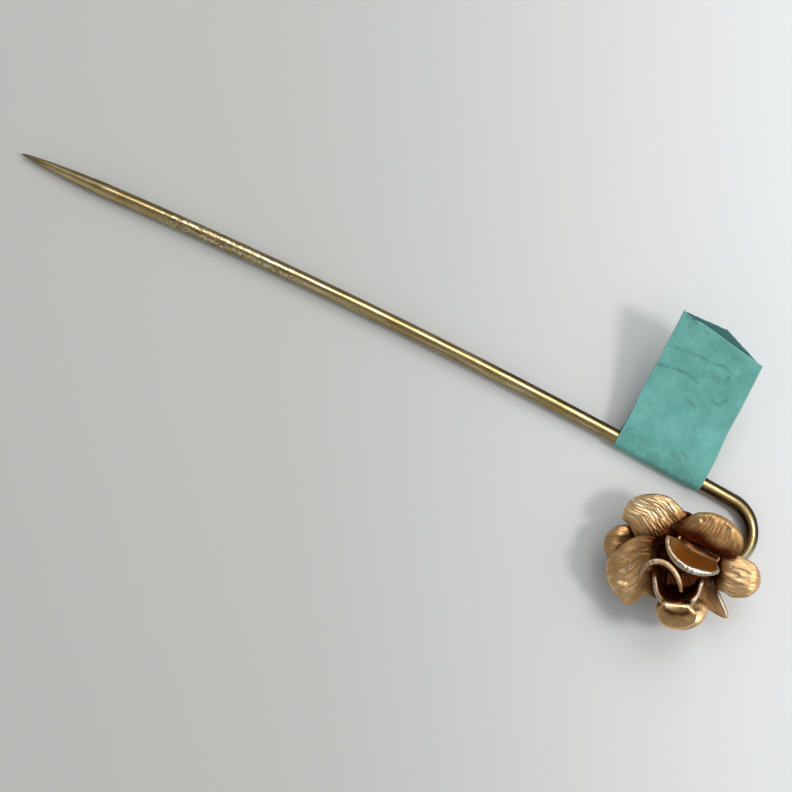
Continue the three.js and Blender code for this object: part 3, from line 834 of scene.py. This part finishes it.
def rounded_profile(corners, radius, steps=5):
    """The corners of a profile, each but the first and last rounded to about that radius."""
    corners = [np.array(corner, float) for corner in corners]
    profile = [corners[0]]
    for before, corner, after in zip(corners[:-2], corners[1:-1], corners[2:]):
        start = corner + unit(before - corner) * min(radius, np.linalg.norm(before - corner) / 2)
        stop = corner + unit(after - corner) * min(radius, np.linalg.norm(after - corner) / 2)
        profile += [bezier(t, start, corner, stop) for t in np.linspace(0, 1, steps)]
    return profile + [corners[-1]]


RIVET_RADIUS = 0.55
RIVET_HEAD_RADIUS = 0.95
RIVET_HEAD_HEIGHT = 0.4
RIVET_HEAD_STEPS = 14
RIVET_FOOT = PLATE_TOP + FIT_GAP
RIVET_NECK = FRONT_ROOT_Z + SHEET / 2 + FIT_GAP
PLATE_ROUNDING = 0.1
SMALL = 0.02

corners = [(SMALL, BASE_Z), (PLATE_RADIUS, BASE_Z), (PLATE_RADIUS, PLATE_TOP), (SMALL, PLATE_TOP)]
turned_piece("calyx_plate", rounded_profile(corners, PLATE_ROUNDING), 41)
head = [(RIVET_HEAD_RADIUS * math.cos(angle), RIVET_NECK + RIVET_HEAD_HEIGHT * math.sin(angle))
        for angle in np.linspace(0, math.pi / 2 - 0.02, RIVET_HEAD_STEPS)]
neck = [(SMALL, RIVET_FOOT), (RIVET_RADIUS, RIVET_FOOT), (RIVET_RADIUS, RIVET_NECK)]
turned_piece("centre_rivet", neck + head, 42)

# -------- wire

# The wire's places are mm from its point. Its flank is 1 on the side away from the rose, -1 on the other.
STEM_LENGTH = 59.3
STEM_BOW = 0.96
STEM_SIDE = 5.8
TIP_SIDE = 6.0
TIP_HEIGHT = 0.48
BOW_HEIGHT = 0.82
CROOK_HEIGHT = 0.70
POINT_LENGTH = 6.8
POINT_LEAN = 0.1
POINT_STATIONS = 60
GROUND_TIP = (0.2, 1.7)
GROUND_FLAT = 0.35
BLUNT = 0.012
CROOK_RADIUS = 2.65
CROOK_X = 1.35
SOLDERED_LEG = 2.6
STATION = 0.16
SIDES = 48
PROBE = 0.35
END_CHAMFER = 0.08
CUT_END = 0.07
PIT_DEPTH = 0.018
SCUFFED = (10.5, 13, 21, 25)
# The spans where the outer flank's tarnish and painted shade are darkest:
DARKER_FLANKS = (36, 41, 56, 59)
CROOK = (56, 60)
# The span of the painted pale reflection on the crook:
PAINTED_CROOK_REFLECTION = (62.8, 64.6)
DARK_POINT = (1.0, 2.4)


def between(place, start, full, fade, end):
    """0 before start and after end, 1 from full to fade, and easy between."""
    return smoothstep(place, start, full) * (1 - smoothstep(place, fade, end))


def stem_curve():
    """The three control points of the straight stem, in the rose's frame."""
    tip = np.array([CROOK_X - STEM_LENGTH, TIP_SIDE, TIP_HEIGHT])
    end = np.array([CROOK_X, STEM_SIDE, CROOK_HEIGHT])
    bow = np.array([(tip[0] + end[0]) / 2, STEM_SIDE + 2 * STEM_BOW, BOW_HEIGHT])
    return tip, bow, end


def stem_path():
    """Points of the wire's middle line from its point to its soldered end, and the distance run at each."""
    tip, bow, end = stem_curve()
    stem = bezier(np.linspace(0, 1, 1500)[:, None], tip, bow, end)
    t = np.linspace(0, 1, 300)[1:]
    angle = math.pi * (0.5 - t)
    crook = np.stack([
        CROOK_X + CROOK_RADIUS * np.cos(angle),
        STEM_SIDE - CROOK_RADIUS + CROOK_RADIUS * np.sin(angle),
        end[2] + (WIRE_RADIUS - end[2]) * t,
    ], -1)
    leg = crook[-1] + np.linspace(0, 1, 60)[1:, None] * np.array([-SOLDERED_LEG, 0, 0])
    path = np.concatenate([stem, crook, leg])
    run = np.concatenate([[0], np.cumsum(np.linalg.norm(np.diff(path, axis=0), axis=1))])
    return path, run


def stem_stations(total):
    """Places of the wire's rings: close together at the ground point and the chamfered end."""
    point = POINT_LENGTH * np.linspace(0.004, 1, POINT_STATIONS) ** 2
    shank = np.arange(POINT_LENGTH + STATION, total - END_CHAMFER, STATION)
    end = total - END_CHAMFER * (1 - np.sin(np.linspace(0, math.pi / 2, 5)))
    return np.concatenate([point, shank, end])


def stem_radius(rng, turn, place, total):
    """The wire's radius: ground to a point, chamfered at the end, a little uneven, and pitted."""
    along = place[:, 0]
    radius = WIRE_RADIUS * np.sqrt(np.clip(along / POINT_LENGTH, BLUNT, 1))
    chamfer = WIRE_RADIUS - CUT_END * smoothstep(along, total - END_CHAMFER, total)
    radius = np.where(along > total - END_CHAMFER, chamfer, radius)
    share = place / total
    wander = 0.010 * smooth_noise(rng, turn, share, 3, 60, wrap=True)
    wander += 0.002 * smooth_noise(rng, turn, share, 10, 120, wrap=True)
    pits = smoothstep(smooth_noise(rng, turn, share, 9, 230, wrap=True), 0.35, 0.8)
    pitted = (0.1 + between(place, *SCUFFED)) * smoothstep(place, 3, 6)
    return radius[:, None] * (1 + wander) - PIT_DEPTH * pits * pitted


def stem_values(rng, turn, place, total):
    """The point values that the brass material reads: tarnish and painted shade along both flanks, and a
    painted pale reflection on the crook.
    """
    angle = 2 * math.pi * turn
    flank = -np.cos(angle)
    blotch = smooth_noise(rng, turn, place / total, 4, 44, wrap=True)
    streak = smooth_noise(rng, turn, place / total, 14, 30, wrap=True)
    # Tarnish and painted shade along both flanks, more towards the crook.
    band = smoothstep(flank + 0.12 * streak, 0.36, 0.78)
    outer_flank = band * (0.74 + 0.26 * between(place, *DARKER_FLANKS))
    inner_flank = 0.70 * smoothstep(-flank + 0.12 * streak, 0.55, 0.92)
    point = 0.5 * (1 - smoothstep(place + 0.5 * blotch, *DARK_POINT))
    tarnish_and_shade = np.maximum(np.maximum(outer_flank, point), inner_flank)
    tarnish_and_shade = tarnish_and_shade + 0.10 * smoothstep(blotch, 0.2, 0.9) + 0.38 * smoothstep(place, *CROOK)
    # Painted pale reflection on the crook, on the side away from the rose.
    painted_crook_reflection = smoothstep(place + 0.4 * blotch, *PAINTED_CROOK_REFLECTION) * smoothstep(flank, -0.3, 0.5)
    return {
        "along_mm": place,
        "turn_x": WIRE_RADIUS * np.cos(angle),
        "turn_y": WIRE_RADIUS * np.sin(angle),
        "scuff": 0.12 + 0.88 * between(place, *SCUFFED),
        "tarnish_and_shade": np.clip(tarnish_and_shade, 0, 1) * (1 - painted_crook_reflection),
        "painted_crook_reflection": painted_crook_reflection,
    }


def stem_piece():
    """The wire, as rings round its middle line."""
    path, run = stem_path()
    total = run[-1]
    along = stem_stations(total)

    def at(place):
        return np.stack([np.interp(place, run, path[:, k]) for k in range(3)], -1)

    ahead, behind = np.minimum(along + PROBE, total), np.maximum(along - PROBE, 0)
    tangent = unit(at(ahead) - at(behind))
    side = unit(np.cross(tangent, [0, 0, 1]))
    over = np.cross(side, tangent)
    centre = at(along)
    centre[:, 1] += POINT_LEAN * np.maximum(0, 1 - along / POINT_LENGTH)

    rng = np.random.RandomState(51)
    turn, place = np.meshgrid(np.linspace(0, 1, SIDES, endpoint=False), along)
    radius = stem_radius(rng, turn, place, total)
    flatten = 1 - GROUND_FLAT * (1 - smoothstep(place, *GROUND_TIP))
    sideways = (radius * np.cos(2 * math.pi * turn))[..., None]
    upwards = (radius * flatten * np.sin(2 * math.pi * turn))[..., None]
    rings = centre[:, None, :] + side[:, None, :] * sideways + over[:, None, :] * upwards
    make_piece("stem_wire", "_drawn", "pin", rings.reshape(-1, 3) + ROSE_MM,
               tube_faces(len(along), SIDES), stem_values(rng, turn, place, total), brass)


stem_piece()

# -------- price tag

TAG_WIDTH = 7.25
TAG_LEAF = 11.7
TAG_TAPER = 0.04
TAG_NEAR_CUT = 0.35
TAG_FAR_CUT = 1.25
TAG_SKEW = 3.2
TAG_LIFT = 25
TAG_X = -4.78
TAG_LOOP_RADIUS = 0.6
PAPER = 0.1
LEAF_GAP = 0.06
LOOP_THROAT = 2.2 * TAG_LOOP_RADIUS
UPPER_SLOPE = 5.0
UPPER_LONGER = 0.14
FRAYED = 0.02
TORN_DEPTH = 0.25
FOLD_CORNER = 0.4
FOLD_START = 0.3
TAG_COLUMNS = 120
LEAF_STEPS = 130
LOOP_STEPS = 36
NECK_STEPS = 10
TAG_RIM_STEPS = 4
TAG_RIM_BULGE = 0.4
# How much painted shade the lower leaf gets, lying under the upper one:
UNDER_LEAF_SHADE = 0.9
WORN_SIDE = 0.12
WORN_EDGE = 0.35
# Grey smudges on the upper leaf, where the broad marks towards the fold and the far end are painted shade:
# (strength, reach, path) in mm across and along the strip.
SMUDGES_AND_SHADE = [
    (0.5, 0.1, [(-3.3, 8.5), (-2.2, 8.75), (-0.95, 8.9), (0.3, 9), (1.2, 9.2), (1.75, 8.95), (1.7, 8.4)]),
    (0.45, 0.12, [(-3.5, 6.75), (-2.1, 7.15), (-1, 7.25), (-0.2, 7)]),
    (0.4, 0.14, [(1.4, 6.3), (2, 6.2), (2.3, 6.9)]),
    (0.3, 0.15, [(-0.3, 5.4), (0.5, 5.3)]),
    (0.25, 0.4, [(1.5, 8.2), (0.4, 8.1), (-0.4, 7.5)]),
    (0.35, 0.16, [(0.6, 1.2), (1.2, 1.7), (1.9, 1.3)]),
    (0.25, 0.5, [(0.9, 1), (2.4, 0.4)]),
    (0.22, 0.9, [(-3.2, 0.9), (-1, 0.3), (3, -0.3)]),
    (0.16, 1, [(-3, 10.8), (0.5, 10.4), (3, 9.6)]),
    (0.85, 0.13, [(-3.45, 11.3), (-2.9, 11.25), (-2.4, 11.1)]),
    (0.14, 0.5, [(-3.2, 3.4), (-1.5, 2.4)]),
]


def tag_frame():
    """Where the tag crosses the wire, and its directions: along the wire, out along the leaf, off it."""
    tip, bow, end = stem_curve()
    t = (TAG_X - tip[0]) / STEM_LENGTH
    origin = bezier(t, tip, bow, end)
    heading = 2 * (1 - t) * (bow - tip) + 2 * t * (end - bow)
    along = unit(heading * [1, 1, 0])
    lift = math.radians(TAG_LIFT)
    leaf = np.cross([0, 0, 1], along) * math.cos(lift) + np.array([0, 0, math.sin(lift)])
    return origin, along, leaf, np.cross(along, leaf)


def tag_rows(upper_end, lower_end):
    """Rows of the folded strip's middle sheet, as (out along the leaf, off its face), from end to end.
    The upper leaf comes down gently over the wire, and the lower one leaves it at the loop's throat."""
    height = (LEAF_GAP + PAPER) / 2
    radius = TAG_LOOP_RADIUS + PAPER / 2
    touch = math.atan2(height, LOOP_THROAT) + math.acos(radius / math.hypot(LOOP_THROAT, height))
    level = np.zeros_like(upper_end)
    rows = []
    for share in np.linspace(1, 0, LEAF_STEPS)[:-1]:
        out = upper_end * share
        over_wire = 1 - smoothstep(out, 0, UPPER_SLOPE)
        rows.append(np.stack([out, height + (radius - height) * over_wire], -1))
    for turn in np.linspace(math.pi / 2, 2 * math.pi - touch, LOOP_STEPS):
        rows.append(np.stack([level + radius * math.cos(turn), level + radius * math.sin(turn)], -1))
    foot = rows[-1]
    mouth = np.stack([level + LOOP_THROAT, level - height], -1)
    end = np.stack([lower_end, level - height], -1)
    for share in np.linspace(0, 1, NECK_STEPS)[1:]:
        rows.append(foot + (mouth - foot) * share)
    for share in np.linspace(0, 1, LEAF_STEPS)[1:]:
        rows.append(mouth + (end - mouth) * share)
    return np.array(rows)


def tag_ends(rng):
    """How far each column of the upper leaf and of the lower one reaches: slanted cuts, frayed and torn."""
    w = np.linspace(-1, 1, TAG_COLUMNS + 1)
    frayed = FRAYED * smooth_noise(rng, (w + 1) / 2, 0 * w, 40, 1)
    slant = TAG_NEAR_CUT + (TAG_FAR_CUT - TAG_NEAR_CUT) * (w + 1) / 2
    torn = TORN_DEPTH * between(-w, 0.45, 0.75, 0.90, 1.0)
    torn = torn * (0.6 + 0.4 * smooth_noise(rng, (w + 1) / 2, 0 * w, 26, 1))
    upper_end = TAG_LEAF - slant + 0.3 * frayed + UPPER_LONGER - torn
    lower_end = TAG_LEAF - np.where(w > 0, TAG_FAR_CUT * w, -TAG_NEAR_CUT * w) + frayed
    return w, upper_end, lower_end


def tag_values(rng, sheet, middle, w, out, place):
    """The point values that the paper material reads: smudges and painted shade on the upper leaf, painted
    shade on the lower leaf, worn edges.
    """
    upper_leaf = np.zeros_like(out)
    upper_leaf[:LEAF_STEPS + LOOP_STEPS // 2] = 1
    across_mm = w * TAG_WIDTH / 2
    along_mm = np.cumsum(np.linalg.norm(np.gradient(middle, axis=0), axis=-1), axis=0)
    broken = 0.75 + 0.7 * smooth_noise(rng, (w + 1) / 2, place, 34, 52)
    smudge_and_shade = np.clip(strongest(across_mm, out, SMUDGES_AND_SHADE) * upper_leaf * broken, 0, 1)
    # The lower leaf, under the upper one, gets painted shade.
    smudge_and_shade = np.maximum(smudge_and_shade, UNDER_LEAF_SHADE * (1 - upper_leaf))
    from_side = (1 - np.abs(w)) * TAG_WIDTH / 2
    worn = WORN_SIDE * (1 - smoothstep(from_side, 0.05, 0.25))
    return {
        "across_mm": sheet.all_over(across_mm),
        "along_mm": sheet.all_over(along_mm),
        "smudge_and_shade": sheet.spread(smudge_and_shade, smudge_and_shade, 0.5 * smudge_and_shade + 0.1),
        "worn": sheet.spread(worn, worn, WORN_EDGE),
    }


def tag_piece():
    """The paper strip folded round the wire, with its two leaves pressed together."""
    rng = np.random.RandomState(61)
    origin, along, leaf, face = tag_frame()
    columns, upper_end, lower_end = tag_ends(rng)
    section = tag_rows(upper_end, lower_end)
    out, off = section[..., 0], section[..., 1]
    w = np.broadcast_to(columns, out.shape)
    place = np.clip(out / TAG_LEAF, 0, 1)

    side = w * TAG_WIDTH / 2 * (1 - TAG_TAPER * out / TAG_LEAF) - math.tan(math.radians(TAG_SKEW)) * out
    fold_reach = FOLD_START + TAG_LOOP_RADIUS + PAPER / 2
    into_corner = np.clip((FOLD_START - out) / fold_reach, 0, 1)
    side = side - FOLD_CORNER * (1 - np.sqrt(1 - into_corner ** 2)) * smoothstep(w, 0.5, 1)
    side = side + 0.05 * smooth_noise(rng, 0 * place, place, 1, 5) * np.abs(w)
    warp = 0.09 * smooth_noise(rng, (w + 1) / 2, place, 2, 3) - 0.10 * w ** 2 * place
    warp = warp + 0.012 * smooth_noise(rng, (w + 1) / 2, place, 14, 20)
    off = off + warp * smoothstep(out, 1.5, 5)

    middle = origin + leaf * out[..., None] + face * off[..., None] + along * side[..., None]
    normal = grid_normals(middle)
    upper, lower = middle + normal * PAPER / 2, middle - normal * PAPER / 2
    sheet = ClosedSheet(len(section) - 1, TAG_COLUMNS, TAG_RIM_STEPS)
    points = sheet.points(upper, middle, lower, normal, PAPER / 2, TAG_RIM_BULGE * PAPER / 2)
    values = tag_values(rng, sheet, middle, w, out, place)
    make_piece("price_tag", "_folded", "tag", points + ROSE_MM, sheet.faces, values, paper)


tag_piece()

NODE_MATERIALS = {"stem_wire": brass, "price_tag": paper}
for name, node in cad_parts.items():
    node.data.materials.clear()
    node.data.materials.append(NODE_MATERIALS.get(name, rose_metal))
